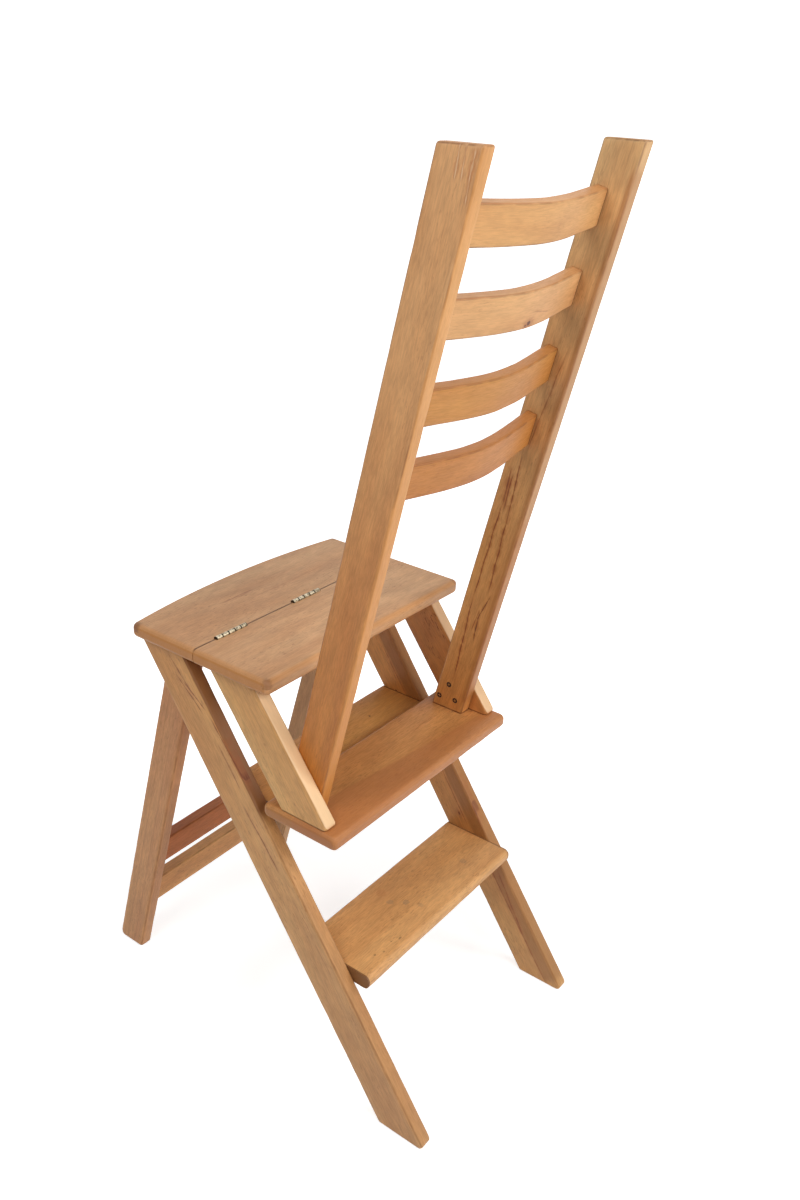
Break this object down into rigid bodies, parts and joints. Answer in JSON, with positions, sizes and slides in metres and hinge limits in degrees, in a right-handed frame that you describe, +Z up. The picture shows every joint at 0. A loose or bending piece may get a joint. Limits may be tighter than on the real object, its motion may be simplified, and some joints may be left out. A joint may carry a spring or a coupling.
{
  "type": "library step chair",
  "caption": "Wooden chair whose rear seat half and ladder back turn over the front on butt hinges to make a step ladder.",
  "frame": {"origin": "on the floor, under the middle of the whole chair's box", "axes": "+Z up, -Y the chair's front, +X the sitter's left; the hinge line runs along X at y = -80.2 mm, z = 600.15 mm"},
  "size_m": [0.401, 0.6012, 1.2003],
  "materials": {
    "frame_wood": "oiled beech, satin",
    "back_wood": "oiled beech, warmer tone, satin",
    "dowel_wood": "plain beech",
    "hinge_metal": "worn plating over brass",
    "plated_steel": "zinc plated",
    "black_steel": "black oxide"
  },
  "bodies": {
    "base": {"front_seat_board": "frame_wood", "rear_leg_left": "frame_wood", "rear_leg_right": "frame_wood", "front_leg_left": "frame_wood", "front_leg_right": "frame_wood", "lower_tread": "frame_wood", "middle_tread": "frame_wood", "lower_rung": "frame_wood", "upper_rung": "frame_wood", "seat_rail": "frame_wood", "tread_dowels": "dowel_wood", "cross_dowels": "dowel_wood", "leg_top_dowels": "dowel_wood", "lap_screws": "plated_steel", "rail_screws": "plated_steel", "front_leaf_screws": "plated_steel", "hinge_left_front_leaf": "hinge_metal", "hinge_left_pin": "hinge_metal", "hinge_middle_front_leaf": "hinge_metal", "hinge_middle_pin": "hinge_metal", "hinge_right_front_leaf": "hinge_metal", "hinge_right_pin": "hinge_metal"},
    "back": {"rear_seat_board": "frame_wood", "side_piece_left": "frame_wood", "side_piece_right": "frame_wood", "flip_tread": "back_wood", "stile_left": "back_wood", "stile_right": "back_wood", "slat_1": "frame_wood", "slat_2": "frame_wood", "slat_3": "frame_wood", "slat_4": "frame_wood", "side_piece_dowels": "dowel_wood", "slat_dowels": "dowel_wood", "stile_screws": "black_steel", "rear_leaf_screws": "plated_steel", "hinge_left_rear_leaf": "hinge_metal", "hinge_middle_rear_leaf": "hinge_metal", "hinge_right_rear_leaf": "hinge_metal"}
  },
  "joints": [
    {"name": "flip_hinge", "type": "hinge", "parent": "base", "child": "back", "pos_m": [0, -0.0802, 0.60015], "axis": [1, 0, 0], "range_deg": [0, 180]}
  ]
}
